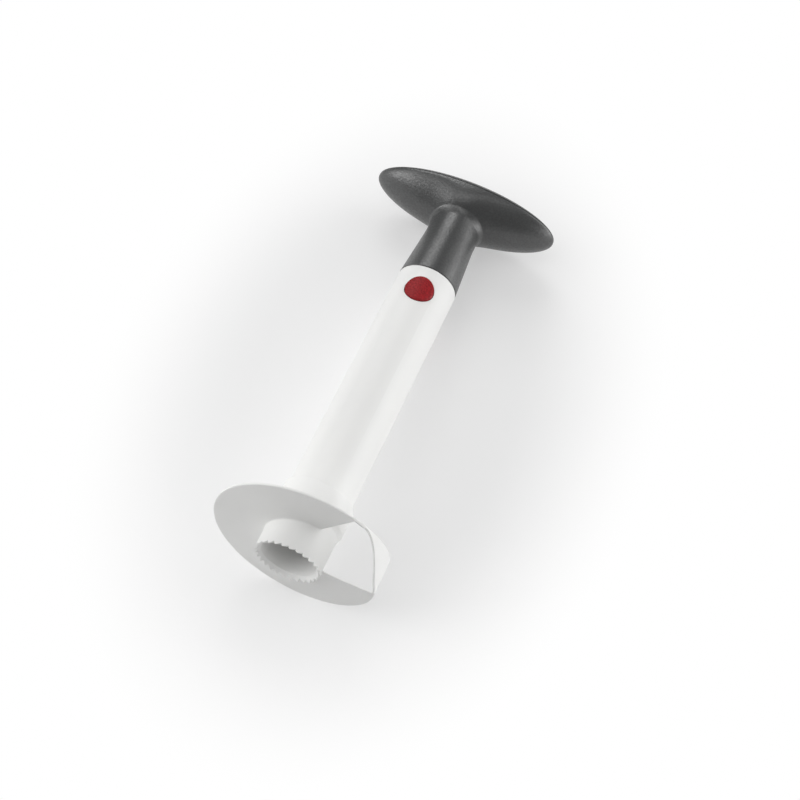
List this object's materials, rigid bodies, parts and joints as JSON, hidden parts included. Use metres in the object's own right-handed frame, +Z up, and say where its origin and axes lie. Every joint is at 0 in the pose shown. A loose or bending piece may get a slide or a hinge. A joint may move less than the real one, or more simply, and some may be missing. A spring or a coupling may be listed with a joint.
{
  "type": "pineapple slicer",
  "caption": "Hand-turned pineapple slicer: toothed corer and spiral blade on a white tube, with an oval T-grip that comes off when two red buttons are pressed.",
  "frame": {"origin": "on the floor under the centre of the lying tool's box", "axes": "+X along the grip's long side, +Y from the blade to the grip along the lying tool, +Z up, out of the front release button; the tool's own axis dips 5.5 degrees towards the grip"},
  "size_m": [0.105, 0.2494, 0.0869],
  "materials": {
    "white_abs": "smooth satin white ABS",
    "grey_grip": "fine matt grain, dark grey",
    "grey_insert": "plain dark grey moulding",
    "red_button": "finely textured red",
    "screw_steel": "plain steel"
  },
  "bodies": {
    "tube": {"core_tube": "white_abs", "slicing_blade": "white_abs"},
    "grip": {"grip_shell": "grey_grip", "grip_cap": "grey_grip", "spigot": "grey_insert", "spigot_plug": "grey_insert", "spigot_screw_1": "screw_steel", "spigot_screw_2": "screw_steel", "spigot_screw_3": "screw_steel"},
    "button_front": {"release_button_front": "red_button"},
    "button_rear": {"release_button_rear": "red_button"}
  },
  "joints": [
    {"name": "grip_release", "type": "slide", "parent": "tube", "child": "grip", "axis": [0, 0.9954, -0.0957], "range_m": [0, 0.055], "deforming": ["release_button_front", "release_button_rear"]},
    {"name": "front_button_press", "type": "hinge", "parent": "grip", "child": "button_front", "pos_m": [0, 0.01844, 0.04152], "axis": [-1, 0, 0], "range_deg": [0, 7], "stiffness_Nm_per_rad": 1.2, "deforming": ["release_button_front"]},
    {"name": "rear_button_press", "type": "hinge", "parent": "grip", "child": "button_rear", "pos_m": [0, 0.01643, 0.02064], "axis": [1, 0, 0], "range_deg": [0, 7], "stiffness_Nm_per_rad": 1.2, "deforming": ["release_button_rear"]}
  ]
}
